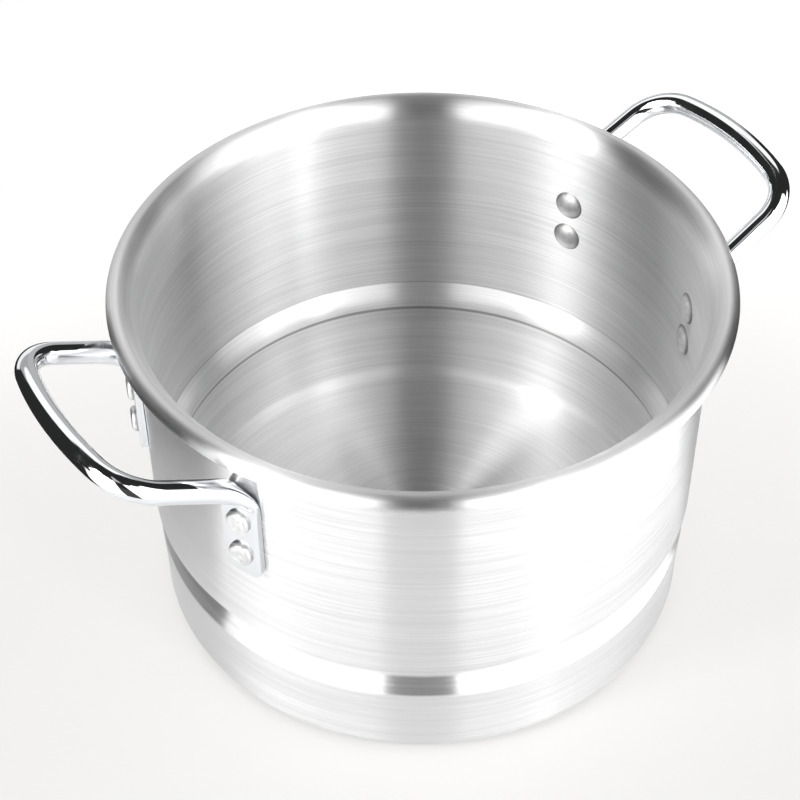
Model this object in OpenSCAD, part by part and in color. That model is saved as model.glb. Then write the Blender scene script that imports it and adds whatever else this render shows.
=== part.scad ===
// Aluminium stock pot: a spun vessel with a step groove and a rolled rim,
// and two bent bar handles, each held by four rivets.
// Millimetres, +Z up. The origin is the middle of the base, the handles lie along X.

/* [Vessel] */
// Height from the base to the top of the rim
pot_h = 195; // [170:1:260]
// Outside diameter of the upper wall
upper_d = 277.6; // [250:0.2:340]
// Thickness of the upper wall
wall_t = 2.5; // [1.8:0.1:3]
// Thickness of the lower wall
lower_wall_t = 3; // [2.2:0.1:3.6]
// Thickness of the floor
floor_t = 3; // [2:0.1:6]
// Outside radius of the rounded base corner
base_corner_r = 10; // [6:0.5:16]
// Inside radius between the floor and the lower wall
floor_corner_r = 8; // [5:0.5:14]

/* [Rim] */
// Diameter of the rolled bead
bead_d = 9.2; // [7:0.1:11]
// How far the bead stands out from the upper wall
rim_overhang = 11.2; // [10:0.1:14]
// Angle at which the flared wall runs into the bead
roll_angle = 60; // [50:1:70]

/* [Step groove] */
// Height of the deepest line of the groove above the base
groove_z = 58.5; // [50:0.5:80]
// How much the lower wall is set in from the upper wall
step_in = 2.7; // [2:0.1:5]
// Depth of the groove below the face of the lower wall
groove_depth = 3.4; // [2.8:0.1:4]
// Thickness of the wall at the bottom of the groove
groove_wall_t = 2.1; // [1.8:0.1:2.5]
// Steepest slope of the cove below the groove, in degrees from upright
cove_tilt = 27; // [22:1:34]
// Radius of the soft edge where the cove meets the lower wall
cove_edge_r = 13; // [8:0.5:16]
// Height of the step's lip above the deepest line of the groove
lip_rise = 8.4; // [6:0.2:9]
// Radius of the step's lip
lip_r = 1; // [0.5:0.1:1.5]
// Radius of the nose that the groove forms on the inside
nose_round_r = 14; // [11:0.5:18]
// Radius of the nose's lower edge
nose_edge_r = 1.2; // [0.8:0.1:1.6]
// How far the wall is set back just under the nose
nose_set = 0.9; // [0.7:0.1:1.2]
// Slope of the inside ledge above the nose, in degrees from upright
ledge_tilt = 32; // [28:1:38]

/* [Handles] */
// Diameter of the handle bar
bar_d = 10.9; // [9:0.1:13]
// Distance from the upper wall to the middle of the grip, level
handle_reach = 52.7; // [48:0.1:64]
// Upward slope of the handle, in degrees
handle_tilt = 26.8; // [15:0.2:32]
// Distance between the legs where they reach the wall
leg_spacing = 107.6; // [100:0.2:118]
// How much each leg leans in toward the other, in degrees
leg_lean = 2.2; // [0:0.1:5]
// Radius of the handle's two corners, on the bar's middle line
grip_corner_r = 24; // [18:0.5:28]
// Radius of the gently bowed grip, on the bar's middle line
grip_bow_r = 156; // [110:1:300]
// Drop from the top of the rim to the leg's middle line at the wall
handle_drop = 23.2; // [21:0.1:32]

/* [Lugs] */
// Distance between the middles of a handle's two lugs
lug_spacing = 101.4; // [96:0.2:112]
// Width of a lug
lug_w = 21; // [20:0.5:24]
// Thickness of a lug at its middle
lug_t = 3.8; // [3:0.1:4.5]
// Radius of a lug's two lower corners
lug_corner_r = 6; // [3:0.5:9]
// Flat metal between the upper rivet's head and the bend
lug_head = 3.5; // [1:0.5:4.5]
// Metal between the lower rivet's middle and the lug's lower end
lug_tail = 13.5; // [12:0.5:18]
// Length of leg over which the round bar flattens, up to the bend
flatten_l = 19.5; // [16:0.5:24]
// How tight the bend from leg to lug is: 0 is a straight line, 1 a sharp corner
bend_pull = 0.8; // [0.7:0.01:0.88]

/* [Rivets] */
// Drop from the top of the rim to the upper rivets
rivet_drop = 48; // [45:0.2:54]
// Distance between the upper and the lower rivet
rivet_spacing = 21.1; // [18:0.1:26]
// Diameter of a rivet's shank
shank_d = 5; // [4:0.1:6.5]
// Diameter of the head outside
head_d = 12.6; // [10:0.1:15]
// Height of the head outside
head_h = 2.8; // [2.2:0.1:4]
// Radius of the outside head's edge
head_edge_r = 2; // [0.8:0.1:2.1]
// Diameter of the domed head inside
dome_d = 16.4; // [13:0.1:17.5]
// Height of the domed head inside
dome_h = 3; // [2:0.1:4]
// Clearance around a shank in its hole
rivet_fit = 0.05; // [0.02:0.01:0.2]

/* [Hidden] */
$fn = 64;
aluminium = "#c9cbcc";
chrome = "#dfe3e6";
rivet_metal = "#d4d5d4";

// Names: sides of the pot, ends of a handle and rows of rivets in a lug
SIDES = ["left", "right"];
ENDS = ["front", "rear"];
ROWS = ["upper", "lower"];
function rivet_name(side, end, row) = str(side, "_", end, "_", row, "_rivet");
RIVETS = [for (side = SIDES, end = ENDS, row = ROWS) rivet_name(side, end, row)];

// Radii of the vessel, outside and inside
upper_r = upper_d / 2;
upper_in_r = upper_r - wall_t;
lower_r = upper_r - step_in;
lower_in_r = lower_r - lower_wall_t;

// Rim: the bead, and the flare that leads the inside of the wall into it
bead_r = bead_d / 2;
bead_c = [upper_r + rim_overhang - bead_r, pot_h - bead_r];
flare_r = (bead_c.x - upper_in_r - bead_r * cos(roll_angle)) / (1 - cos(roll_angle));
flare_c = [upper_in_r + flare_r, bead_c.y + (bead_r - flare_r) * sin(roll_angle)];

// Groove: a cove with a soft lower edge outside, a round nose under a sloping ledge inside
groove_r = lower_r - groove_depth;
cove_r = (groove_depth - cove_edge_r * (1 - cos(cove_tilt))) / (1 - cos(cove_tilt));
cove_c = [groove_r + cove_r, groove_z];
cove_edge_c = [lower_r - cove_edge_r, groove_z - (cove_r + cove_edge_r) * sin(cove_tilt)];
lip_z = groove_z + lip_rise;
lip_angle = asin(lip_rise / cove_r);
nose_r = groove_r - groove_wall_t;
nose_c = [nose_r + nose_round_r, groove_z];
nose_turn = 60;
// The wall under the nose leans out to the lower wall in one long arc
under_z = groove_z - 1.25 * nose_edge_r;
under_in = lower_in_r - nose_r - nose_set;
under_h = under_z - cove_edge_c.y;
under_r = (under_h ^ 2 + under_in ^ 2) / (2 * under_in);
ledge_foot = nose_c + nose_round_r * [-cos(ledge_tilt), sin(ledge_tilt)];
crease_z = ledge_foot.y + (upper_in_r - ledge_foot.x) / tan(ledge_tilt);

// Lugs and rivets: angle of each lug around the pot, and heights
lug_angle = asin(lug_spacing / 2 / upper_r);
rivet_z = [pot_h - rivet_drop, pot_h - rivet_drop - rivet_spacing];
lug_bottom_z = rivet_z[1] - lug_tail;
lug_top_z = rivet_z[0] + head_d / 2 + lug_head;
lug_mid_r = upper_r + lug_t / 2;
lug_face_r = upper_r + lug_t;
// Facets of the cylinders that cut a lug's back and a dome's foot to the wall's curve
wall_fn = 720;

// Handle plane: x runs up the slope from the wall, y across; legs lean in by leg_lean
grip_x = handle_reach / cos(handle_tilt);
bow_c = grip_x - grip_bow_r;
leg_dir = [cos(leg_lean), -sin(leg_lean)];
corner_base = [0, leg_spacing / 2] - grip_corner_r * [sin(leg_lean), cos(leg_lean)];
corner_b = (corner_base - [bow_c, 0]) * leg_dir;
corner_q = norm(corner_base - [bow_c, 0]) ^ 2 - (grip_bow_r - grip_corner_r) ^ 2;
corner_c = corner_base + leg_dir * (sqrt(corner_b ^ 2 - corner_q) - corner_b);
bow_half = atan2(corner_c.y, corner_c.x - bow_c);

// Foot: the leg's line meets the lug's middle plane at the knee, where the bar bends down
handle_z = pot_h - handle_drop;
lug_mid = lug_mid_r * [cos(lug_angle), sin(lug_angle)];
knee_x = (lug_mid_r - upper_r * cos(lug_angle) - leg_spacing / 2 * sin(lug_angle))
    / (cos(handle_tilt) * cos(lug_angle));

// Sides of the bar's section, and steps along half of the bow, a corner and a foot
bar_sides = 24;
bow_steps = 4;
corner_steps = 9;
foot_steps = 16;
// How far the bar's flat end runs down into the lug, and stays inside its faces
end_lap = 1;
end_inset = 0.1;
// Power of the bar's section at the lug: 1 is an ellipse, a smaller power is squarer
end_power = 0.4;

// A point of the handle plane, p = [x, y], in the part's own frame
function in_space(p) =
    [upper_r + p.x * cos(handle_tilt), p.y, handle_z + p.x * sin(handle_tilt)];
// A direction of the handle plane in the part's own frame
function slope_dir(v) = [v.x * cos(handle_tilt), v.y, v.x * sin(handle_tilt)];
// A point on the leg's middle line, x up the slope
function leg_point(x) = [x, leg_spacing / 2 - x * tan(leg_lean)];

// Points of an arc about c, from angle a to angle b
function arc(c, r, a, b, step = 6) =
    let (n = max(2, ceil(abs(b - a) / step)))
    [for (i = [0 : n]) let (t = a + (b - a) * i / n) c + r * [cos(t), sin(t)]];

// Half section of the vessel without its bead: up the outside, then down the inside
function vessel_outline() = concat(
    [[0, 0]],
    arc([lower_r - base_corner_r, base_corner_r], base_corner_r, -90, 0),
    arc(cove_edge_c, cove_edge_r, 0, cove_tilt),
    arc(cove_c, cove_r, 180 + cove_tilt, 180 - lip_angle, 4),
    arc([upper_r - lip_r, lip_z + lip_r], lip_r, -90, 0, 15),
    arc(flare_c, flare_r - wall_t, 180, 180 - roll_angle),
    arc(flare_c, flare_r, 180 - roll_angle, 180),
    [[upper_in_r, crease_z]],
    arc(nose_c, nose_round_r, 180 - ledge_tilt, 180, 4),
    arc([nose_r + nose_edge_r, groove_z], nose_edge_r, 180, 180 + nose_turn, 15),
    arc([lower_in_r - under_r, cove_edge_c.y], under_r, asin(under_h / under_r), 0, 3),
    arc([lower_in_r - floor_corner_r, floor_t + floor_corner_r], floor_corner_r, 0, -90),
    [[0, floor_t]]);

// Side of the pot and end of the handle as directions: right and rear are +1
function side_turn(side) = side == "right" ? 0 : 180;
function end_sign(side, end) = (end == "rear" ? 1 : -1) * (side == "right" ? 1 : -1);

// Puts what is drawn at azimuth 0 where one rivet or hole belongs
module at_rivet(side, end, row) {
    rotate(side_turn(side) + end_sign(side, end) * lug_angle)
        translate([0, 0, rivet_z[row == "upper" ? 0 : 1]])
            children();
}

// Hole for a rivet's shank, from inside the pot to past the lug's face
module rivet_hole() {
    translate([upper_in_r - dome_h, 0, 0])
        rotate([0, 90, 0])
            cylinder(d = shank_d + 2 * rivet_fit, h = wall_t + lug_t + dome_h + head_h);
}

module pot_body() {
    color(aluminium)
        difference() {
            rotate_extrude() {
                polygon(vessel_outline());
                translate(bead_c) circle(bead_r);
            }
            for (side = SIDES, end = ENDS, row = ROWS)
                at_rivet(side, end, row) rivet_hole();
        }
}

function mix(a, b, t) = a + (b - a) * t;
function ease(t) = t * t * (3 - 2 * t);
function unit(v) = v / norm(v);

// Section of the bar square to along, with its width toward side
function bar_ring(centre, along, side, half_w, half_t, power) =
    let (across = unit(side - along * (side * along)), up = cross(along, across))
    [for (i = [0 : bar_sides - 1])
        let (c = cos(360 * i / bar_sides), s = sin(360 * i / bar_sides))
        centre + across * half_w * sign(c) * abs(c) ^ power + up * half_t * sign(s) * abs(s) ^ power];

// Round sections along an arc in the handle plane
function arc_rings(c, r, a, b, steps, first) =
    [for (i = [first : steps])
        let (t = mix(a, b, i / steps), out = [cos(t), sin(t)])
        bar_ring(in_space(c + r * out), slope_dir([-out.y, out.x]), slope_dir(out),
            bar_d / 2, bar_d / 2, 1)];

// Middle line of a foot: a cubic curve from the leg (t = 0) past the knee down to the lug (t = 1)
foot_start = in_space(leg_point(knee_x + flatten_l));
foot_end = [lug_mid.x, lug_mid.y, lug_top_z - end_lap];
knee = in_space(leg_point(knee_x));
foot_ctrl = [
    foot_start,
    mix(foot_start, knee, bend_pull),
    mix(foot_end, [lug_mid.x, lug_mid.y, knee.z], bend_pull),
    foot_end];
function foot_point(t) =
    foot_ctrl[0] * (1 - t) ^ 3 + foot_ctrl[1] * 3 * t * (1 - t) ^ 2
    + foot_ctrl[2] * 3 * t ^ 2 * (1 - t) + foot_ctrl[3] * t ^ 3;
function foot_along(t) = unit(
    (foot_ctrl[1] - foot_ctrl[0]) * (1 - t) ^ 2
    + (foot_ctrl[2] - foot_ctrl[1]) * 2 * t * (1 - t)
    + (foot_ctrl[3] - foot_ctrl[2]) * t ^ 2);

// Sections of a foot: a circle at the leg, flat and wide at the lug
foot_rings = [for (k = [0 : foot_steps])
    let (t = k / foot_steps, turn = lug_angle * ease(t),
        half_w = mix(bar_d, lug_w, ease(t)) / 2 - end_inset * t,
        half_t = mix(bar_d, lug_t, ease(t)) / 2 - end_inset * t)
    bar_ring(foot_point(t), foot_along(t), [-sin(turn), cos(turn), 0],
        half_w, half_t, mix(1, end_power, t))];

// Half of the bar from the middle of the grip out to one lug, and its mirror image
half_rings = concat(
    arc_rings([bow_c, 0], grip_bow_r, 0, bow_half, bow_steps, 0),
    arc_rings(corner_c, grip_corner_r, bow_half, 90 - leg_lean, corner_steps, 1),
    foot_rings);
half_count = len(half_rings);
bar_rings = concat(
    [for (k = [half_count - 1 : -1 : 1]) [for (p = half_rings[k]) [p.x, -p.y, p.z]]],
    half_rings);

// The whole bent bar, swept from lug to lug
module bent_bar() {
    count = len(bar_rings);
    points = [for (ring = bar_rings) each ring];
    walls = [for (k = [0 : count - 2], i = [0 : bar_sides - 1])
        let (j = (i + 1) % bar_sides, a = k * bar_sides, b = a + bar_sides)
        each [[a + i, b + i, b + j], [a + i, b + j, a + j]]];
    first = [for (i = [0 : bar_sides - 1]) i];
    last = [for (i = [bar_sides - 1 : -1 : 0]) (count - 1) * bar_sides + i];
    polyhedron(points, concat(walls, [first, last]));
}

// Flat lug at azimuth 0, with two rivet holes and a back that follows the wall
module lug() {
    flat_h = lug_top_z - lug_bottom_z;
    difference() {
        translate([lug_face_r, 0, lug_bottom_z])
            rotate([90, 0, -90])
                linear_extrude(lug_t + wall_t) {
                    translate([-lug_w / 2, lug_corner_r]) square([lug_w, flat_h - lug_corner_r]);
                    translate([lug_corner_r - lug_w / 2, 0]) square([lug_w - 2 * lug_corner_r, flat_h]);
                    for (s = [-1, 1])
                        translate([s * (lug_w / 2 - lug_corner_r), lug_corner_r]) circle(lug_corner_r);
                }
        cylinder(r = upper_r, h = pot_h, $fn = wall_fn);
        for (z = rivet_z)
            translate([0, 0, z]) rivet_hole();
    }
}

// One whole handle, on the side given
module handle(side) {
    color(chrome)
        rotate(side_turn(side)) {
            bent_bar();
            for (turn = [-lug_angle, lug_angle])
                rotate(turn) lug();
        }
}

// Rivet on +X: a flat-topped head on the lug, a shank, and a dome against the inside of the wall
module rivet() {
    dome_r = dome_h / 2 + dome_d ^ 2 / 8 / dome_h;
    rotate([0, 90, 0]) {
        translate([0, 0, upper_in_r - dome_h / 2])
            cylinder(d = shank_d, h = wall_t + lug_t + dome_h / 2 + head_h / 2);
        translate([0, 0, lug_face_r])
            rotate_extrude() {
                square([head_d / 2 - head_edge_r, head_h]);
                square([head_d / 2, head_h - head_edge_r]);
                translate([head_d / 2 - head_edge_r, head_h - head_edge_r])
                    intersection() {
                        circle(head_edge_r);
                        square(head_edge_r);
                    }
            }
    }
    intersection() {
        translate([upper_in_r - dome_h + dome_r, 0, 0]) sphere(dome_r);
        cylinder(r = upper_in_r, h = 2 * dome_d, center = true, $fn = wall_fn);
    }
}

pot_body();
handle("left");  // left_handle
handle("right");  // right_handle
for (side = SIDES, end = ENDS, row = ROWS)
    color(rivet_metal) at_rivet(side, end, row) rivet();
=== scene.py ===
# %% [markdown]
# # A spun aluminium stock pot
# The pot is one drawn and spun aluminium vessel. Two chromed bars are riveted to its wall as handles.
# The CAD model gives the sizes and places. This script gives the same pieces finer surfaces, the metals'
# real finishes, and a plain studio to show them in.

# %% Load the CAD model
import math

import bmesh
import bpy
from mathutils import Matrix, Vector


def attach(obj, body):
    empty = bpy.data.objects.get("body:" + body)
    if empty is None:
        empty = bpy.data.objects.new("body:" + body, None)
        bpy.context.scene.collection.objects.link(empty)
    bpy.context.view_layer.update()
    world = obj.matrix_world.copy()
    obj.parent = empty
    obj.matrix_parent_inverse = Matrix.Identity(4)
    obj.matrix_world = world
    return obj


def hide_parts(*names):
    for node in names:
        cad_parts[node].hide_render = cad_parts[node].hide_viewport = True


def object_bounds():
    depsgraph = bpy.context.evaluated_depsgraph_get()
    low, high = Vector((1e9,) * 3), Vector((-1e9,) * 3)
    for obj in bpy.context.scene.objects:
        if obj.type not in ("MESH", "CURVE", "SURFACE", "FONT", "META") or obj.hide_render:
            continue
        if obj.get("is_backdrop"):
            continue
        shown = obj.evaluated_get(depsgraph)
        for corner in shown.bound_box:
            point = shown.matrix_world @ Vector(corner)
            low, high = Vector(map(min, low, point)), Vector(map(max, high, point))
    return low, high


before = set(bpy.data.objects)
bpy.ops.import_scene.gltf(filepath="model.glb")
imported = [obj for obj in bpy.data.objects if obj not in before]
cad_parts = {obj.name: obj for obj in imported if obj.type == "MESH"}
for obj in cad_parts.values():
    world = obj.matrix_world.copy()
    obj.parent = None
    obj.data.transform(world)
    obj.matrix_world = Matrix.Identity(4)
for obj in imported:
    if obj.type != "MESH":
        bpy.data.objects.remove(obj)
CAD_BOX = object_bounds()
MM = 0.001
RIVET_NODES = sorted(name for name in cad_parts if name.endswith("_rivet"))
print("CAD nodes:", len(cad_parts), "of which rivets:", len(RIVET_NODES))

# %% [markdown]
# ## A short way to write node trees
# Shader and geometry trees are mostly arithmetic. A small class wraps an output socket, so that
# a + b or 1 - mask adds the Math node for it. Every other node comes from one method, which takes
# the node's type, its settings and the values or links of its sockets.

# %% Node helper
class Signal:
    """An output socket. Arithmetic on it adds Math nodes to the same tree."""

    def __init__(self, maker, socket):
        self.maker = maker
        self.socket = socket

    def also(self, name):
        """Another output of the same node."""
        return Signal(self.maker, self.socket.node.outputs[name])

    def math(self, operation, *values):
        return self.maker.node("ShaderNodeMath", {"operation": operation}, dict(enumerate(values)))

    def __add__(self, other):
        return self.math("ADD", self, other)

    def __sub__(self, other):
        return self.math("SUBTRACT", self, other)

    def __rsub__(self, other):
        return self.math("SUBTRACT", other, self)

    def __mul__(self, other):
        return self.math("MULTIPLY", self, other)

    def __truediv__(self, other):
        return self.math("DIVIDE", self, other)

    def __mod__(self, other):
        return self.math("MODULO", self, other)

    __radd__ = __add__
    __rmul__ = __mul__


class NodeMaker:
    """Adds nodes to one tree."""

    def __init__(self, tree):
        self.tree = tree

    def node(self, kind, settings=None, sockets=None, out=0):
        made = self.tree.nodes.new(kind)
        for name, value in (settings or {}).items():
            setattr(made, name, value)
        for key, value in (sockets or {}).items():
            if isinstance(value, Signal):
                self.tree.links.new(value.socket, made.inputs[key])
            else:
                made.inputs[key].default_value = value
        return Signal(self, made.outputs[out]) if made.outputs else made

    def mix_colour(self, factor, first, second):
        return self.node("ShaderNodeMix", {"data_type": "RGBA"}, {0: factor, 6: first, 7: second}, out=2)

    def step(self, value, low, high, to_low=0.0, to_high=1.0):
        """Smooth change from to_low to to_high as value goes from low to high."""
        return self.node(
            "ShaderNodeMapRange",
            {"interpolation_type": "SMOOTHSTEP"},
            {"Value": value, "From Min": low, "From Max": high, "To Min": to_low, "To Max": to_high},
        )

    def band(self, value, low, high, soft):
        """1 where value lies between low and high, with soft ends."""
        return self.step(value, low - soft, low + soft) * self.step(value, high - soft, high + soft, 1, 0)


# %% [markdown]
# ## Spun aluminium
# The wall was held against a turning tool, so its finish is a mass of fine grooves that all run round
# the axis. Light spreads across the grooves and stays sharp along them. A Principled shader does that
# with Anisotropic: with no tangent linked, the renderer takes the direction round the object's Z axis,
# and a quarter turn of the rotation spreads the light up and down the wall and in and out on the floor.
# Streaks come from noise that is stretched round the axis: the direction from the axis turns slowly,
# while the height and the radius run fast.
# A pot isn't the same all over. The outside is the smoothest, and the bottom inside the roughest.
# Thin dark lines of painted shade stand for the shadows at the nose of the step, in the crease above its
# ledge, and round the foot, and the bottom inside is a little darker. Masks from the height and the distance
# from the axis put them there.

# %% Aluminium
OUTSIDE_SATIN, INSIDE_SATIN, RIM_SATIN, BOTTOM_SATIN = 0.26, 0.38, 0.36, 0.44
DULL_METAL, BRIGHT_METAL = (0.79, 0.79, 0.795, 1), (0.92, 0.92, 0.92, 1)
# Painted shade: one dark colour for the lines at the nose, in the crease and round the foot, and for the
# slight darkening of the bottom inside.
DARKENING_COLOUR = (0.20, 0.19, 0.18, 1)
NOSE_PAINTED_SHADE, LEDGE_PAINTED_SHADE, FOOT_PAINTED_SHADE, BOTTOM_DARKENING = 0.65, 0.35, 0.5, 0.08
HAIR_SHARE, FINE_SHARE, BROAD_SHARE, STREAK_SPAN = 0.6, 0.25, 0.15, (0.40, 0.60)
STREAK_SATIN, RADIUS_SPEED = 0.05, 1.618

# Heights in metres, each from where a change starts to where it ends.
BOTTOM_Z, FOOT_LINE_Z, NOSE_LINE_Z = (0.004, 0.010), (0.0028, 0.0044), (0.0564, 0.0590)
LEDGE_LINE_Z, RIM_Z = (0.0721, 0.0728), (0.178, 0.186)
NECK_BELOW_Z, NECK_ABOVE_Z = (0.046, 0.0554), (0.060, 0.072)

# Distances from the axis in metres: the middle of the metal below, at and above the step, and the edges
# of two masks.
LOWER_MIDDLE, NECK_MIDDLE, UPPER_MIDDLE = 0.1346, 0.13156, 0.13756
NOSE_LINE_EDGE, FOOT_LINE_EDGE = (0.1314, 0.1316), (0.1305, 0.1315)
INSIDE_SOFT, NOSE_LINE_SOFT, LEDGE_LINE_SOFT = 0.0003, 0.0004, 0.0003


def new_finish(name):
    """An empty material, the maker of its nodes, and its Principled shader."""
    material = bpy.data.materials.new(name)
    material.use_nodes = True
    material.node_tree.nodes.clear()
    maker = NodeMaker(material.node_tree)
    shader = maker.node("ShaderNodeBsdfPrincipled")
    maker.node("ShaderNodeOutputMaterial", None, {"Surface": shader})
    return material, maker, shader.socket.node


def feed(shader, name, signal):
    shader.id_data.links.new(signal.socket, shader.inputs[name])


def axis_distance(x):
    """Distance from the Z axis, from the X output of a Separate XYZ node."""
    squares = x * x + x.also("Y") * x.also("Y") + 1e-8
    return squares.math("SQRT", squares)


def ring_streaks(maker, turns, per_metre, detail, seed):
    """Noise from 0 to 1 that is drawn out into rings round the Z axis."""
    place = maker.node("ShaderNodeTexCoord", out="Object")
    x = maker.node("ShaderNodeSeparateXYZ", None, {0: place})
    y = x.also("Y")
    z = x.also("Z")
    radius = axis_distance(x)
    across = (z + radius * RADIUS_SPEED) * per_metre
    along = maker.node(
        "ShaderNodeCombineXYZ", None, {0: x / radius * turns, 1: y / radius * turns, 2: across + seed}
    )
    return maker.node(
        "ShaderNodeTexNoise", None, {"Vector": along, "Scale": 1.0, "Detail": detail, "Roughness": 0.6}
    )


def inside_mask(maker, height, radius):
    """1 on the vessel's inside and 0 on its outside, parted in the middle of the metal."""
    middle = maker.step(height, *NECK_BELOW_Z, LOWER_MIDDLE, NECK_MIDDLE)
    middle = middle + maker.step(height, *NECK_ABOVE_Z, 0, UPPER_MIDDLE - NECK_MIDDLE)
    return maker.step(radius - middle, -INSIDE_SOFT, INSIDE_SOFT, 1, 0)


def spun_aluminium():
    material, maker, shader = new_finish("brushed_aluminium")
    shader.inputs["Metallic"].default_value = 1.0
    shader.inputs["Anisotropic"].default_value = 1.0
    shader.inputs["Anisotropic Rotation"].default_value = 0.25
    hair = ring_streaks(maker, turns=1.6, per_metre=2400.0, detail=3.0, seed=90.0)
    fine = ring_streaks(maker, turns=1.0, per_metre=700.0, detail=3.0, seed=0.0)
    broad = ring_streaks(maker, turns=0.5, per_metre=110.0, detail=2.0, seed=40.0)
    streaks = hair * HAIR_SHARE + fine * FINE_SHARE + broad * BROAD_SHARE
    metal = maker.mix_colour(maker.step(streaks, *STREAK_SPAN), DULL_METAL, BRIGHT_METAL)
    place = maker.node("ShaderNodeSeparateXYZ", None, {0: maker.node("ShaderNodeTexCoord", out="Object")})
    height, radius = place.also("Z"), axis_distance(place)
    inside = inside_mask(maker, height, radius)
    rim = maker.step(height, *RIM_Z)
    bottom = maker.step(height, *BOTTOM_Z, 1, 0) * inside
    # Painted shade: dark lines where the nose, the ledge's crease and the foot lie in shadow.
    nose_line = maker.band(height, *NOSE_LINE_Z, NOSE_LINE_SOFT) * maker.step(radius, *NOSE_LINE_EDGE, 1, 0)
    ledge_line = maker.band(height, *LEDGE_LINE_Z, LEDGE_LINE_SOFT) * inside
    foot_line = maker.step(height, *FOOT_LINE_Z, 1, 0) * maker.step(radius, *FOOT_LINE_EDGE)
    darkening = nose_line * NOSE_PAINTED_SHADE + ledge_line * LEDGE_PAINTED_SHADE + foot_line * FOOT_PAINTED_SHADE
    # The bottom inside is made a little darker.
    darkening = darkening + bottom * BOTTOM_DARKENING
    feed(shader, "Base Color", maker.mix_colour(darkening, metal, DARKENING_COLOUR))
    satin = OUTSIDE_SATIN + (INSIDE_SATIN - OUTSIDE_SATIN) * inside * (1 - rim)
    satin = satin + (RIM_SATIN - OUTSIDE_SATIN) * rim + (BOTTOM_SATIN - INSIDE_SATIN) * bottom
    feed(shader, "Roughness", satin + STREAK_SATIN * (fine - 0.5) + STREAK_SATIN * (hair - 0.5))
    return material


ALUMINIUM = spun_aluminium()
print("finish:", ALUMINIUM.name)

# %% [markdown]
# ## The vessel
# A spinner turns a disc into this shape over a former, so the natural model is a section turned
# round the axis. The section below uses the CAD model's sizes, in millimetres, with finer arcs. Only at the
# lower wall and the groove does it follow the photograph's outline closer than the CAD model does: there
# the wall is half a millimetre wider, and it swells to a low crest, where the roller pushed metal aside.

# %% Section of the vessel
UPPER_R, UPPER_IN_R = 138.8, 136.3
LOWER_R, LOWER_IN_R = 136.7, 133.1
POT_H, FLOOR_T = 195.0, 3.0
BASE_CORNER_R, FLOOR_CORNER_R = 10.0, 8.0
BEAD_R, WALL_T, ROLL_ANGLE = 4.6, 2.5, 60.0
BEAD_C = (145.4, POT_H - BEAD_R)
GROOVE_Z, GROOVE_R = 57.4, 132.3
CREST_R, CREST_TILT, CREST_FOOT_Z, CREST_RUN, CREST_LIFT = 137.5, 3.0, 28.0, 6.0, 0.1
COVE_TILT, COVE_R, COVE_EDGE_R, COVE_TOP_R = 27.0, 6.0, 4.5, 14.0
LIP_Z, LIP_R = 66.9, 1.0
NOSE_Z, NOSE_TIP_R, NOSE_ROUND_R, LEDGE_TILT = 58.8, 130.3, 14.0, 32.0
NOSE_EDGE_R, NOSE_TURN, CREASE_R, CREASE_LIFT = 1.5, 55.0, 1.0, 0.3
UNDER_TOP, UNDER_END_Z = (130.9, 57.0), 44.0
LONG_GAP, SAME_POINT = 3.0, 0.02


def polar(centre, radius, degrees):
    turn = math.radians(degrees)
    return (centre[0] + radius * math.cos(turn), centre[1] + radius * math.sin(turn))


def arc(centre, radius, start, end, step=4.0):
    count = max(2, math.ceil(abs(end - start) / step))
    return [polar(centre, radius, start + (end - start) * i / count) for i in range(count + 1)]


def straight(start, end, pitch=15.0, guard=0.4):
    """Points between two ends, with one close to each end so that shading stays flat."""
    length = math.dist(start, end)
    count = max(1, round(length / pitch))
    shares = [guard / length] + [i / count for i in range(1, count)] + [1 - guard / length]
    return [(start[0] + (end[0] - start[0]) * t, start[1] + (end[1] - start[1]) * t) for t in shares]


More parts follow.
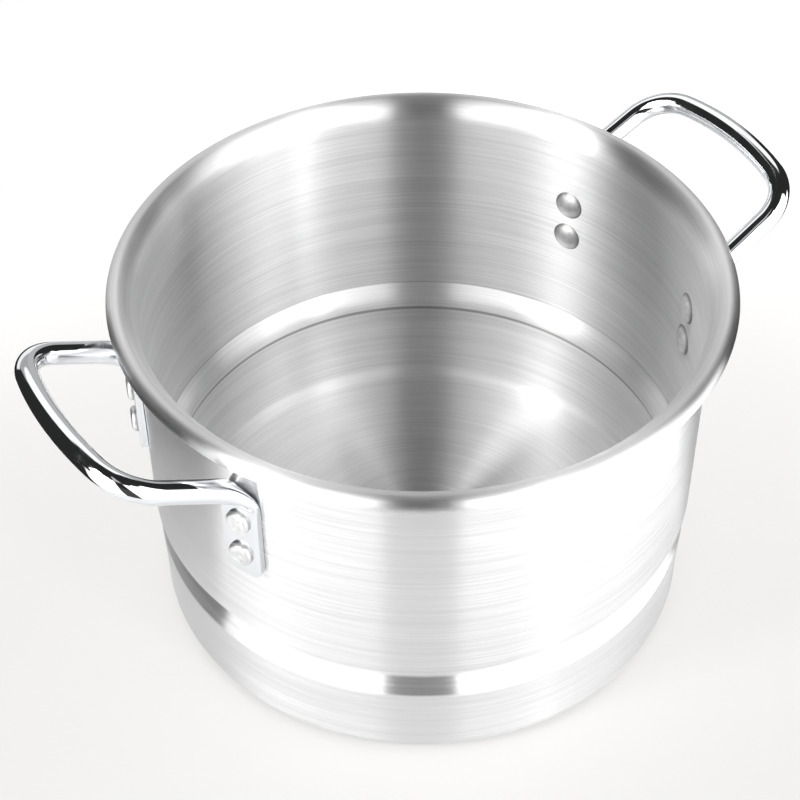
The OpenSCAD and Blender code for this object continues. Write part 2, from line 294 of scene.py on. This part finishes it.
def vessel_section():
    """The whole closed section as (radius, height): up the outside, over the rim, down the inside."""
    cos_roll, sin_roll = math.cos(math.radians(ROLL_ANGLE)), math.sin(math.radians(ROLL_ANGLE))
    roll_end = 180 - ROLL_ANGLE
    flare_r = (BEAD_C[0] - UPPER_IN_R - BEAD_R * cos_roll) / (1 - cos_roll)
    flare_c = (UPPER_IN_R + flare_r, BEAD_C[1] + (BEAD_R - flare_r) * sin_roll)
    outer_flare = arc(flare_c, flare_r - WALL_T, 180, roll_end, 1)
    outer_flare = [p for p in outer_flare if math.dist(p, BEAD_C) > BEAD_R]
    meet = math.degrees(math.atan2(outer_flare[-1][1] - BEAD_C[1], outer_flare[-1][0] - BEAD_C[0])) + 360
    cove_in = (COVE_R + COVE_EDGE_R) * (1 - math.cos(math.radians(COVE_TILT)))
    slope_h = (CREST_R - GROOVE_R - cove_in) / math.tan(math.radians(COVE_TILT))
    cove_drop = (COVE_R + COVE_EDGE_R) * math.sin(math.radians(COVE_TILT)) + slope_h
    lip_angle = math.degrees(math.asin((LIP_Z - GROOVE_Z) / COVE_TOP_R))
    nose_c = (NOSE_TIP_R + NOSE_ROUND_R, NOSE_Z)
    ledge_foot = polar(nose_c, NOSE_ROUND_R, 180 - LEDGE_TILT)
    under_in = LOWER_IN_R - UNDER_TOP[0]
    under_h = UNDER_TOP[1] - UNDER_END_Z
    under_r = (under_h ** 2 + under_in ** 2) / (2 * under_in)
    under_turn = math.degrees(math.asin(under_h / under_r))
    crease_z = ledge_foot[1] + (UPPER_IN_R - ledge_foot[0]) / math.tan(math.radians(LEDGE_TILT))
    runs = [
        [(0.0, 0.0)],
        arc((LOWER_R - BASE_CORNER_R, BASE_CORNER_R), BASE_CORNER_R, -90, 0),
        [(LOWER_R, CREST_FOOT_Z - CREST_RUN), (LOWER_R + CREST_LIFT, CREST_FOOT_Z)],
        arc((CREST_R - COVE_EDGE_R, GROOVE_Z - cove_drop), COVE_EDGE_R, -CREST_TILT, COVE_TILT, 3),
        arc((GROOVE_R + COVE_R, GROOVE_Z), COVE_R, 180 + COVE_TILT, 180, 4),
        arc((GROOVE_R + COVE_TOP_R, GROOVE_Z), COVE_TOP_R, 180, 180 - lip_angle, 4),
        arc((UPPER_R - LIP_R, LIP_Z + LIP_R), LIP_R, -90, 0, 10),
        outer_flare,
        arc(BEAD_C, BEAD_R, meet, roll_end + 360, 6),
        arc(flare_c, flare_r, roll_end, 180, 2),
        arc((UPPER_IN_R - CREASE_R, crease_z + CREASE_LIFT), CREASE_R, 0, -LEDGE_TILT, 8),
        arc(nose_c, NOSE_ROUND_R, 180 - LEDGE_TILT, 180, 2),
        arc((NOSE_TIP_R + NOSE_EDGE_R, NOSE_Z), NOSE_EDGE_R, 180, 180 + NOSE_TURN, 10),
        arc((LOWER_IN_R - under_r, UNDER_END_Z), under_r, under_turn, 0, 3),
        arc((LOWER_IN_R - FLOOR_CORNER_R, FLOOR_T + FLOOR_CORNER_R), FLOOR_CORNER_R, 0, -90),
        [(0.0, FLOOR_T)],
    ]
    section = []
    for run in runs:
        if section and math.dist(section[-1], run[0]) > LONG_GAP:
            section += straight(section[-1], run[0])
        section += [p for p in run if not section or math.dist(p, section[-1]) > SAME_POINT]
    return section


SECTION = vessel_section()
print("section points:", len(SECTION))

# %% [markdown]
# ## Turning a section with Geometry Nodes
# Blender's Screw modifier could turn the section, but a node tree can be used again for the rivets.
# The tree makes a plain grid, looks up each column's point in the section, and turns each row of the
# grid to its place round the Z axis. Merge by Distance then closes the seam and the two poles.

# %% Turning tree
MERGE_DISTANCE = 1e-6


def new_tree(name, inputs):
    """A geometry tree with a Geometry input and output and the named inputs, and its maker."""
    tree = bpy.data.node_groups.new(name, "GeometryNodeTree")
    tree.interface.new_socket("Geometry", in_out="INPUT", socket_type="NodeSocketGeometry")
    for label, kind in inputs.items():
        tree.interface.new_socket(label, in_out="INPUT", socket_type=kind)
    tree.interface.new_socket("Geometry", in_out="OUTPUT", socket_type="NodeSocketGeometry")
    return tree, NodeMaker(tree)


def turning_tree():
    tree, maker = new_tree("turn_section", {"Segments": "NodeSocketInt"})
    given = maker.node("NodeGroupInput")
    segments = given.also("Segments")
    count = maker.node("GeometryNodeAttributeDomainSize", {"component": "MESH"}, {0: given})
    grid = maker.node("GeometryNodeMeshGrid", None, {"Vertices X": segments + 1, "Vertices Y": count})
    index = maker.node("GeometryNodeInputIndex")
    column = index % count
    row = ((index - column) / count).math("ROUND", (index - column) / count)
    point = maker.node(
        "GeometryNodeSampleIndex",
        {"data_type": "FLOAT_VECTOR", "domain": "POINT"},
        {"Geometry": given, "Value": maker.node("GeometryNodeInputPosition"), "Index": column},
    )
    angle = row * math.tau / segments
    turned = maker.node(
        "ShaderNodeVectorRotate", {"rotation_type": "Z_AXIS"}, {"Vector": point, "Angle": angle}
    )
    placed = maker.node("GeometryNodeSetPosition", None, {"Geometry": grid, "Position": turned})
    closed = maker.node("GeometryNodeMergeByDistance", None, {"Geometry": placed, "Distance": MERGE_DISTANCE})
    maker.node("NodeGroupOutput", None, {0: closed})
    return tree


TURN = turning_tree()
print("turning tree, nodes:", len(TURN.nodes))


def section_object(name, points):
    """A polyline of (radius, height) points in millimetres, as an object in the XZ plane."""
    mesh = bpy.data.meshes.new(name)
    edges = [(i, i + 1) for i in range(len(points) - 1)]
    mesh.from_pydata([(r * MM, 0, z * MM) for r, z in points], edges, [])
    worker = bpy.data.objects.new(name, mesh)
    bpy.context.scene.collection.objects.link(worker)
    return worker


def finished_piece(worker, tree, values, name, sharp_degrees):
    """Runs a tree on a worker object and keeps the result as a plain, outward-facing mesh."""
    modifier = worker.modifiers.new("build", "NODES")
    modifier.node_group = tree
    for item in tree.interface.items_tree:
        if item.in_out == "INPUT" and item.name in values:
            modifier[item.identifier] = values[item.name]
    depsgraph = bpy.context.evaluated_depsgraph_get()
    mesh = bpy.data.meshes.new_from_object(worker.evaluated_get(depsgraph), depsgraph=depsgraph)
    bpy.data.objects.remove(worker)
    return mesh_piece(mesh, name, sharp_degrees)


def mesh_piece(mesh, name, sharp_degrees):
    """Turns faces outward, shades the mesh smooth up to an angle, and links it as an object."""
    shape = bmesh.new()
    shape.from_mesh(mesh)
    bmesh.ops.recalc_face_normals(shape, faces=shape.faces)
    shape.to_mesh(mesh)
    shape.free()
    mesh.shade_smooth()
    mesh.set_sharp_from_angle(angle=math.radians(sharp_degrees))
    mesh.name = name
    piece = bpy.data.objects.new(name, mesh)
    bpy.context.scene.collection.objects.link(piece)
    print(name, "faces:", len(mesh.polygons))
    return piece


# %% [markdown]
# ## Turning the vessel
# The vessel's own tree holds the turning tree as one node and adds the finish, so that its number of
# segments and its material are named inputs. The result is kept as a plain mesh, because the piece is
# handed over without modifiers. Edges sharper than 35 degrees stay sharp, as under the lip of the step.

# %% Vessel
VESSEL_SEGMENTS, SHARP_DEGREES = 256, 35


def vessel_tree():
    tree, maker = new_tree("vessel", {"Segments": "NodeSocketInt", "Finish": "NodeSocketMaterial"})
    given = maker.node("NodeGroupInput")
    turned = maker.node(
        "GeometryNodeGroup", {"node_tree": TURN}, {0: given, 1: given.also("Segments")}
    )
    coated = maker.node("GeometryNodeSetMaterial", None, {0: turned, "Material": given.also("Finish")})
    maker.node("NodeGroupOutput", None, {0: coated})
    return tree


vessel = finished_piece(
    section_object("vessel_section", SECTION),
    vessel_tree(),
    {"Segments": VESSEL_SEGMENTS, "Finish": ALUMINIUM},
    "spun_vessel",
    SHARP_DEGREES,
)
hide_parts("pot_body")
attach(vessel, "root")

# %% [markdown]
# ## Chrome
# The bars are steel with a bright chrome plate: a mirror with a slightly cool tint. A mirror looks real
# when it isn't perfect, so the roughness varies a little, as handled chrome does, and a very low bump
# bends the reflections as polishing leaves them.

# %% Chrome finish
CHROME_TINT = (0.86, 0.88, 0.90, 1)
CHROME_CLEAN, CHROME_SMUDGED = 0.05, 0.14


def chrome_plate():
    material, maker, shader = new_finish("chrome_plate")
    shader.inputs["Metallic"].default_value = 1.0
    shader.inputs["Base Color"].default_value = CHROME_TINT
    place = maker.node("ShaderNodeTexCoord", out="Object")
    smudge = maker.node(
        "ShaderNodeTexNoise", None, {"Vector": place, "Scale": 90.0, "Detail": 4.0, "Roughness": 0.6}
    )
    ripple = maker.node("ShaderNodeTexNoise", None, {"Vector": place, "Scale": 60.0, "Detail": 1.0})
    feed(shader, "Roughness", maker.step(smudge, 0.45, 0.75, CHROME_CLEAN, CHROME_SMUDGED))
    bump = maker.node("ShaderNodeBump", None, {"Strength": 0.15, "Distance": 0.0002, "Height": ripple})
    feed(shader, "Normal", bump)
    return material


CHROME = chrome_plate()
print("finish:", CHROME.name)

# %% [markdown]
# ## The handles
# Each handle is one round bar. It is bent to a bowed grip with two corners, and both ends are
# hammered flat into lugs that lie on the wall. A curve with a bevel gives a round bar but can't flatten
# it, so the bar is a sweep of sections in mesh code: a circle along the grip and the legs, then wider
# and thinner through the bend, and at last a flat plate whose back follows the wall.

# %% Handle sizes and path
BAR_R, HANDLE_REACH, HANDLE_TILT = 5.45, 52.7, math.radians(26.8)
LEG_SPACING, LEG_LEAN = 107.6, math.radians(2.2)
GRIP_CORNER_R, GRIP_BOW_R, HANDLE_DROP = 24.0, 156.0, 23.2
LUG_SPACING, LUG_W, LUG_T = 101.4, 21.0, 3.8
LUG_CORNER_R, LUG_HEAD, LUG_TAIL = 6.0, 3.5, 13.5
FLATTEN_L, BEND_PULL = 19.5, 0.8
RIVET_DROP, RIVET_SPACING, HEAD_D = 48.0, 21.1, 12.6

LUG_ANGLE = math.asin(LUG_SPACING / 2 / UPPER_R)
LUG_MID_R = UPPER_R + LUG_T / 2
RIVET_Z = (POT_H - RIVET_DROP, POT_H - RIVET_DROP - RIVET_SPACING)
LUG_TOP_Z = RIVET_Z[0] + HEAD_D / 2 + LUG_HEAD
LUG_BOTTOM_Z = RIVET_Z[1] - LUG_TAIL
HANDLE_Z = POT_H - HANDLE_DROP
LUG_POWER, LUG_EDGE_CUT, LUG_EDGE_H = 0.24, 0.6, 0.5
BAR_SIDES, BOW_STEPS, CORNER_STEPS, FOOT_STEPS, LUG_STEPS = 48, 12, 24, 36, 8
LUG_CORNER_DEGREES = range(6, 91, 6)
print("lugs lie at degrees from the handle's middle:", round(math.degrees(LUG_ANGLE), 2))


def on_slope(x, y):
    """A point of the handle's sloping plane, x up the slope from the wall."""
    return Vector((UPPER_R + x * math.cos(HANDLE_TILT), y, HANDLE_Z + x * math.sin(HANDLE_TILT)))


def slope_direction(x, y):
    return Vector((x * math.cos(HANDLE_TILT), y, x * math.sin(HANDLE_TILT)))


def leg_point(x):
    return on_slope(x, LEG_SPACING / 2 - x * math.tan(LEG_LEAN))


def ease(t):
    return t * t * (3 - 2 * t)


def power(value, exponent):
    return math.copysign(abs(value) ** exponent, value)


def section_ring(centre, along, side, half_w, half_t, squareness, back_follows_wall=0.0):
    """One section of the bar, square to along, with its width toward side."""
    across = (side - along * side.dot(along)).normalized()
    up = along.cross(across)
    ring = []
    for i in range(BAR_SIDES):
        turn = math.tau * i / BAR_SIDES
        u = half_w * power(math.cos(turn), squareness)
        v = half_t * power(math.sin(turn), squareness)
        if v < 0:
            sag = UPPER_R - math.sqrt(UPPER_R ** 2 - u ** 2)
            v -= back_follows_wall * sag * -v / half_t
        ring.append(centre + across * u + up * v)
    return ring


def arc_rings(centre, radius, start, end, steps, first):
    rings = []
    for i in range(first, steps + 1):
        turn = start + (end - start) * i / steps
        out = (math.cos(turn), math.sin(turn))
        middle = on_slope(centre[0] + radius * out[0], centre[1] + radius * out[1])
        rings.append(
            section_ring(middle, slope_direction(-out[1], out[0]), slope_direction(*out), BAR_R, BAR_R, 1)
        )
    return rings


def grip_rings():
    """Round sections from the middle of the grip, round one corner, to the top of the leg."""
    bow_c = HANDLE_REACH / math.cos(HANDLE_TILT) - GRIP_BOW_R
    base = Vector((0, LEG_SPACING / 2)) - GRIP_CORNER_R * Vector((math.sin(LEG_LEAN), math.cos(LEG_LEAN)))
    leg = Vector((math.cos(LEG_LEAN), -math.sin(LEG_LEAN)))
    offset = base - Vector((bow_c, 0))
    reach = offset.dot(leg)
    square = offset.length_squared - (GRIP_BOW_R - GRIP_CORNER_R) ** 2
    corner = base + leg * (math.sqrt(reach ** 2 - square) - reach)
    half = math.atan2(corner.y, corner.x - bow_c)
    bow = arc_rings((bow_c, 0), GRIP_BOW_R, 0, half, BOW_STEPS, 0)
    return bow + arc_rings(corner, GRIP_CORNER_R, half, math.pi / 2 - LEG_LEAN, CORNER_STEPS, 1)


def foot_rings():
    """Sections that flatten from the leg, past the knee, to the top of the lug."""
    lug_x, lug_y = LUG_MID_R * math.cos(LUG_ANGLE), LUG_MID_R * math.sin(LUG_ANGLE)
    knee_x = LUG_MID_R - UPPER_R * math.cos(LUG_ANGLE) - LEG_SPACING / 2 * math.sin(LUG_ANGLE)
    knee_x /= math.cos(HANDLE_TILT) * math.cos(LUG_ANGLE)
    knee = leg_point(knee_x)
    start = leg_point(knee_x + FLATTEN_L)
    end = Vector((lug_x, lug_y, LUG_TOP_Z))
    pull = (start, start.lerp(knee, BEND_PULL), end.lerp(Vector((lug_x, lug_y, knee.z)), BEND_PULL), end)
    rings = []
    for k in range(FOOT_STEPS + 1):
        t = k / FOOT_STEPS
        s = 1 - t
        middle = pull[0] * s ** 3 + pull[1] * 3 * t * s * s + pull[2] * 3 * t * t * s + pull[3] * t ** 3
        along = (pull[1] - pull[0]) * s * s + (pull[2] - pull[1]) * 2 * t * s + (pull[3] - pull[2]) * t * t
        turn = LUG_ANGLE * ease(t)
        half_w = BAR_R + (LUG_W / 2 - BAR_R) * ease(t)
        half_t = BAR_R + (LUG_T / 2 - BAR_R) * ease(t)
        side = Vector((-math.sin(turn), math.cos(turn), 0))
        squareness = 1 + (LUG_POWER - 1) * t
        rings.append(section_ring(middle, along.normalized(), side, half_w, half_t, squareness, ease(t)))
    return rings


def lug_rings():
    """Flat sections down the lug, drawn in round its two lower corners."""
    lug_x, lug_y = LUG_MID_R * math.cos(LUG_ANGLE), LUG_MID_R * math.sin(LUG_ANGLE)
    side = Vector((-math.sin(LUG_ANGLE), math.cos(LUG_ANGLE), 0))
    straight_l = LUG_TOP_Z - LUG_BOTTOM_Z - LUG_CORNER_R
    heights = [LUG_TOP_Z - straight_l * i / LUG_STEPS for i in range(1, LUG_STEPS + 1)]
    heights += [LUG_BOTTOM_Z + LUG_CORNER_R * (1 - math.sin(math.radians(a))) for a in LUG_CORNER_DEGREES]
    rings = []
    for z in heights:
        above = min(z - LUG_BOTTOM_Z, LUG_CORNER_R)
        half_w = LUG_W / 2 - LUG_CORNER_R + math.sqrt(LUG_CORNER_R ** 2 - (LUG_CORNER_R - above) ** 2)
        half_t = LUG_T / 2 - LUG_EDGE_CUT * max(0, 1 - above / LUG_EDGE_H) ** 2
        middle = Vector((lug_x, lug_y, z))
        rings.append(section_ring(middle, Vector((0, 0, -1)), side, half_w, half_t, LUG_POWER, 1))
    return rings


# %% [markdown]
# ## Sweeping the bars
# Half a handle is worked out and mirrored, so both of its lugs are alike. Neighbouring sections are joined
# with quads, and the two ends are closed. The left handle is the right one after half a turn.

# %% Sweep the handles
BAR_SHARP_DEGREES = 40


def bar_mesh(turn_degrees):
    """The whole bar as a mesh: one half and its mirror image, closed at both lugs' lower ends."""
    half = grip_rings() + foot_rings() + lug_rings()
    mirrored = [[Vector((p.x, -p.y, p.z)) for p in ring] for ring in half[:0:-1]]
    rings = mirrored + half
    turn = Matrix.Rotation(math.radians(turn_degrees), 3, "Z")
    points = [turn @ p * MM for ring in rings for p in ring]
    faces = []
    for k in range(len(rings) - 1):
        for i in range(BAR_SIDES):
            a, b = k * BAR_SIDES + i, k * BAR_SIDES + (i + 1) % BAR_SIDES
            faces.append((a, b, b + BAR_SIDES, a + BAR_SIDES))
    last = (len(rings) - 1) * BAR_SIDES
    faces += [tuple(range(BAR_SIDES)), tuple(range(last, last + BAR_SIDES))]
    mesh = bpy.data.meshes.new("bar")
    mesh.from_pydata(points, [], faces)
    return mesh


for side, turn_degrees in (("right", 0), ("left", 180)):
    bar = mesh_piece(bar_mesh(turn_degrees), f"{side}_bar_handle", BAR_SHARP_DEGREES)
    bar.data.materials.append(CHROME)
    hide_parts(f"{side}_handle")
    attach(bar, "root")

# %% [markdown]
# ## The rivets' metal
# Solid aluminium rivets hold the lugs. Their metal is satin and mottled, with painted shade at the seats,
# where a dome meets the wall and a head meets the lug. All rivets are one mesh, so the shader has to find
# each one's own axis: the absolute values of X and Y fold the four lugs into one, and the nearer of two rows
# counts.

# %% Rivet finish
MOTTLE_DARK, MOTTLE_LIGHT = (0.72, 0.72, 0.72, 1), (0.93, 0.93, 0.92, 1)
RIVET_SMOOTH, RIVET_ROUGH = 0.37, 0.45
# Strengths of the painted shade at the seats of dome and head.
DOME_SEAT_PAINTED_SHADE, HEAD_SEAT_PAINTED_SHADE = 0.85, 0.6

# In metres: the edges of dome and head from the rivet's axis, and where they lie from the pot's axis.
DOME_RIM, HEAD_RIM = (0.0060, 0.0080), (0.0058, 0.0062)
DOME_SIDE, HEAD_FOOT = (0.1370, 0.1380), (0.1415, 0.1435)


def rivet_metal():
    material, maker, shader = new_finish("rivet_metal")
    shader.inputs["Metallic"].default_value = 1.0
    place = maker.node("ShaderNodeTexCoord", out="Object")
    mottle = maker.node(
        "ShaderNodeTexNoise", None, {"Vector": place, "Scale": 260.0, "Detail": 4.0, "Roughness": 0.65}
    )
    metal = maker.mix_colour(maker.step(mottle, 0.35, 0.65), MOTTLE_DARK, MOTTLE_LIGHT)
    x = maker.node("ShaderNodeSeparateXYZ", None, {0: place})
    y, z, depth = x.also("Y"), x.also("Z"), axis_distance(x)
    across = x.math("ABSOLUTE", x) * math.sin(LUG_ANGLE) - y.math("ABSOLUTE", y) * math.cos(LUG_ANGLE)
    from_upper, from_lower = z - RIVET_Z[0] * MM, z - RIVET_Z[1] * MM
    along_square = from_upper.math("MINIMUM", from_upper * from_upper, from_lower * from_lower)
    off_centre = across.math("SQRT", across * across + along_square)
    # Painted shade: the seats are darkened where shadow falls round a dome on the wall and round a head on
    # the lug.
    dome_seat = maker.step(off_centre, *DOME_RIM) * maker.step(depth, *DOME_SIDE, 1, 0)
    head_seat = maker.step(off_centre, *HEAD_RIM) * maker.band(depth, *HEAD_FOOT, 0.0005)
    darkening = dome_seat * DOME_SEAT_PAINTED_SHADE + head_seat * HEAD_SEAT_PAINTED_SHADE
    feed(shader, "Base Color", maker.mix_colour(darkening, metal, DARKENING_COLOUR))
    feed(shader, "Roughness", maker.step(mottle, 0.35, 0.7, RIVET_SMOOTH, RIVET_ROUGH))
    return material


RIVET_METAL = rivet_metal()
print("finish:", RIVET_METAL.name)

# %% [markdown]
# ## The rivets
# Each rivet has a flat-topped head on the lug and a low dome inside the pot, where the setting tool pressed
# it. They repeat, so one section is turned by the same tree, laid along X, and instanced on eight points.
# A point's number gives its row, its end of the handle and its side of the pot.

# %% Rivet section and tree
HEAD_H, HEAD_EDGE_R, HEAD_CROWN = 2.8, 2.0, 0.15
SHANK_R, DOME_D, DOME_H = 2.5, 16.4, 3.0
FACE_R = UPPER_R + LUG_T
SEAT, RIVET_SEGMENTS = 0.3, 48


def rivet_section():
    """(radius, distance from the pot's axis) from the dome's top inside to the head's top outside."""
    dome_r = DOME_H / 2 + DOME_D ** 2 / 8 / DOME_H
    spread = math.degrees(math.asin(DOME_D / 2 / dome_r))
    dome = arc((0, UPPER_IN_R - DOME_H + dome_r), dome_r, -90, -90 + spread, 4)
    edge = arc((HEAD_D / 2 - HEAD_EDGE_R, FACE_R + HEAD_H - HEAD_EDGE_R), HEAD_EDGE_R, 0, 90, 9)
    foot = [(DOME_D / 2, UPPER_IN_R + SEAT), (SHANK_R, UPPER_IN_R + SEAT), (SHANK_R, FACE_R - SEAT)]
    head = [(HEAD_D / 2, FACE_R - SEAT)] + edge + [(0, FACE_R + HEAD_H + HEAD_CROWN)]
    return dome + foot + head


def rivet_tree():
    inputs = {"Segments": "NodeSocketInt", "Lug angle": "NodeSocketFloat", "Upper row": "NodeSocketFloat"}
    inputs.update({"Lower row": "NodeSocketFloat", "Finish": "NodeSocketMaterial"})
    tree, maker = new_tree("rivets", inputs)
    given = maker.node("NodeGroupInput")
    turned = maker.node("GeometryNodeGroup", {"node_tree": TURN}, {0: given, 1: given.also("Segments")})
    laid = maker.node("GeometryNodeTransform", None, {0: turned, "Rotation": (0, math.pi / 2, 0)})
    index = maker.node("GeometryNodeInputIndex")
    row = index % 2
    end = (index / 2).math("FLOOR", index / 2) % 2
    side = (index / 4).math("FLOOR", index / 4)
    height = given.also("Upper row") * (1 - row) + given.also("Lower row") * row
    azimuth = side * math.pi + (end * 2 - 1) * given.also("Lug angle")
    place = maker.node("ShaderNodeCombineXYZ", None, {2: height})
    points = maker.node("GeometryNodePoints", None, {"Count": len(RIVET_NODES), "Position": place})
    turn = maker.node("ShaderNodeCombineXYZ", None, {2: azimuth})
    copies = maker.node(
        "GeometryNodeInstanceOnPoints", None, {"Points": points, "Instance": laid, "Rotation": turn}
    )
    joined = maker.node("GeometryNodeRealizeInstances", None, {0: copies})
    coated = maker.node("GeometryNodeSetMaterial", None, {0: joined, "Material": given.also("Finish")})
    maker.node("NodeGroupOutput", None, {0: coated})
    return tree


rivets = finished_piece(
    section_object("rivet_section", rivet_section()),
    rivet_tree(),
    {
        "Segments": RIVET_SEGMENTS,
        "Lug angle": LUG_ANGLE,
        "Upper row": RIVET_Z[0] * MM,
        "Lower row": RIVET_Z[1] * MM,
        "Finish": RIVET_METAL,
    },
    "rivets",
    SHARP_DEGREES,
)
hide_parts(*RIVET_NODES)
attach(rivets, "root")

# %% [markdown]
# ## Camera
# The photograph was taken from about 44 degrees above, with a long lens. The camera's place and its
# three directions were worked out from the circles of the rim, the step and the base.

# %% Camera
CAMERA_AT = Vector((-374.76, -565.80, 767.56)) * MM
LOOK = Vector((0.386756, 0.605130, -0.695872))
CAMERA_UP = Vector((0.381346, 0.582103, 0.718144))
LENS_MM, SENSOR_MM = 84.03, 36.0
POT_MIDDLE = Vector((0, 0, POT_H / 2)) * MM

lens = bpy.data.cameras.new("camera")
lens.lens = LENS_MM
lens.sensor_width = SENSOR_MM
camera = bpy.data.objects.new("camera", lens)
bpy.context.scene.collection.objects.link(camera)
right = LOOK.cross(CAMERA_UP).normalized()
axes = Matrix((right, right.cross(LOOK), -LOOK)).transposed()
camera.matrix_world = Matrix.Translation(CAMERA_AT) @ axes.to_4x4()
bpy.context.scene.camera = camera
print("camera distance to the pot's middle, m:", round((CAMERA_AT - POT_MIDDLE).length, 3))

# %% [markdown]
# ## Studio
# Metal shows what stands round it. The pot stands on a white table between two large white panels, and
# the gap between the panels, where the camera stands, is dark. That gap makes the dark stripe down the
# middle of the wall, inside and out. A narrow bright strip on each panel makes a streak on the inside,
# and dimmer patches behind the pot light the far side of the rim and the handles. The surroundings are a
# world made from soft-edged patches, because distant patches light the object evenly and cost little to
# render. The camera itself sees plain white behind the pot.

# %% World
CAMERA_AZIMUTH = math.atan2(CAMERA_AT.y, CAMERA_AT.x)
DIM_ROOM = 0.03

# A patch is left, right, low, high and the softness of its edges in degrees, and its strength.
# Azimuth 0 is where the camera stands, and + is its right.
CAMERA_GAP = [(-13, 13, -80, 25, 1.5, 0.06), (-13, 13, 60, 84, 3, 0.7)]
RIGHT_PANEL = [
    (36, 112, -80, 12, 1.5, 2.8),
    (13, 36, -80, 12, 1, 2.2),
    (13, 82, 12, 30, 1.5, 3.7),
    (82, 98, 12, 30, 1.5, 1.8),
    (13, 28, 30, 56, 1.5, 3.2),
    (28, 74, 30, 56, 1.5, 4.3),
    (74, 98, 30, 56, 1.5, 2.7),
]
RIGHT_STRIP = [(45.5, 50, 12, 60, 1, 11.0)]
LEFT_PANEL = [
    (-77, -13, -80, 12, 1.5, 2.0),
    (-70, -13, 12, 30, 1.5, 3.3),
    (-76, -28, 30, 60, 1.5, 4.2),
    (-28, -13, 30, 56, 1.5, 3.2),
]
LEFT_STRIP = [(-68, -55, 28, 60, 1, 9.0)]
BACKDROP = [
    (158, 190, -8, 30, 1.5, 0.6),
    (155, 190, 30, 56, 1.5, 1.4),
    (-190, -128, -8, 12, 1.5, 1.2),
    (-190, -132, 12, 30, 1.5, 0.5),
    (-190, -135, 30, 56, 1.5, 1.4),
]
PATCHES = CAMERA_GAP + RIGHT_PANEL + RIGHT_STRIP + LEFT_PANEL + LEFT_STRIP + BACKDROP


def studio_world():
    world = bpy.data.worlds.new("studio")
    world.use_nodes = True
    world.node_tree.nodes.clear()
    maker = NodeMaker(world.node_tree)
    way = maker.node("ShaderNodeTexCoord", out="Generated")
    turned = maker.node(
        "ShaderNodeVectorRotate", {"rotation_type": "Z_AXIS"}, {"Vector": way, "Angle": -CAMERA_AZIMUTH}
    )
    x = maker.node("ShaderNodeSeparateXYZ", None, {0: turned})
    z = x.also("Z")
    azimuth = x.math("ARCTAN2", x.also("Y"), x) * (180 / math.pi)
    height = z.math("ARCSINE", z) * (180 / math.pi)
    light = DIM_ROOM
    for left, right, low, high, soft, strength in PATCHES:
        patch = maker.band(azimuth, left, right, soft) * maker.band(height, low, high, soft)
        light = light + patch * strength
    seen = maker.node("ShaderNodeLightPath", out="Is Camera Ray")
    shade = maker.node("ShaderNodeBackground", None, {"Strength": light})
    plain = maker.node("ShaderNodeBackground", None, {"Color": (1, 1, 1, 1), "Strength": 1.0})
    both = maker.node("ShaderNodeMixShader", None, {0: seen, 1: shade, 2: plain})
    maker.node("ShaderNodeOutputWorld", None, {"Surface": both})
    return world


bpy.context.scene.world = studio_world()
bpy.context.scene.view_settings.view_transform = "Standard"
print("studio patches:", len(PATCHES))

# %% [markdown]
# ## The table
# The camera sees the table as an even white that keeps the pot's shadow: a part of it glows, and the rest is
# lit by the studio. The metal sees the same table by its own white, with painted shade close in front of the
# pot that stands for the pot's shadow there. The table ends not far from the pot, so that the low part of the
# panels and the gap between them show in the outside wall.

# %% Floor
# Sides and distances in metres from the pot's axis, as the camera sees them.
TABLE_LEFT, TABLE_RIGHT, TABLE_NEAR, TABLE_FAR = -0.28, 0.31, 0.50, 0.80
SEEN_NEAR_GLOW, SEEN_FAR_GLOW, GLOW_FADE = 0.50, 0.80, (-0.35, 0.15)
GLOW_COLOUR, SEEN_WHITE = (1.0, 0.99, 0.975, 1), (0.30, 0.297, 0.292, 1)
TABLE_WHITE, BESIDE_WHITE, FRONT_SHADED_WHITE = 0.82, 0.84, 0.61
FRONT_FADE, CLOSE_FADE = (-0.02, 0.14), (0.14, 0.30)


def white_floor():
    """A white table, in one way for the camera and in another for the metal."""
    material, maker, shader = new_finish("white_floor")
    shader.inputs["Roughness"].default_value = 0.5
    seen = maker.node("ShaderNodeLightPath", out="Is Camera Ray")
    place = maker.node("ShaderNodeSeparateXYZ", None, {0: maker.node("ShaderNodeTexCoord", out="Object")})
    near = place * math.cos(CAMERA_AZIMUTH) + place.also("Y") * math.sin(CAMERA_AZIMUTH)
    glow = seen * maker.step(near, *GLOW_FADE, SEEN_FAR_GLOW, SEEN_NEAR_GLOW)
    # Painted shade: to the metal, the table is darker close in front of the pot, for the pot's shadow there.
    front_shaded_white = maker.step(near, *FRONT_FADE, BESIDE_WHITE, FRONT_SHADED_WHITE)
    white = front_shaded_white + (TABLE_WHITE - front_shaded_white) * maker.step(axis_distance(place), *CLOSE_FADE)
    feed(shader, "Base Color", maker.mix_colour(seen, white, SEEN_WHITE))
    shader.inputs["Emission Color"].default_value = GLOW_COLOUR
    feed(shader, "Emission Strength", glow)
    return material


toward = Vector((math.cos(CAMERA_AZIMUTH), math.sin(CAMERA_AZIMUTH), 0))
aside = Vector((-toward.y, toward.x, 0))
corners = [
    aside * TABLE_LEFT + toward * TABLE_NEAR,
    aside * TABLE_RIGHT + toward * TABLE_NEAR,
    aside * TABLE_RIGHT - toward * TABLE_FAR,
    aside * TABLE_LEFT - toward * TABLE_FAR,
]
mesh = bpy.data.meshes.new("floor")
mesh.from_pydata(corners, [], [(0, 1, 2, 3)])
floor = bpy.data.objects.new("floor", mesh)
bpy.context.scene.collection.objects.link(floor)
floor.data.materials.append(white_floor())
floor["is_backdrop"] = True
print("table, m:", round(TABLE_RIGHT - TABLE_LEFT, 2), "by", round(TABLE_NEAR + TABLE_FAR, 2))

# %% [markdown]
# ## The size against the CAD model
# The box round the shown objects is measured again, and how far each side of it moved from the CAD model's
# box is printed, in millimetres.

# %% Finish
visual_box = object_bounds()
growth = [round((b - a) / MM, 2) for p, q in zip(CAD_BOX, visual_box) for a, b in zip(p, q)]
print("box grew by, mm:", growth)
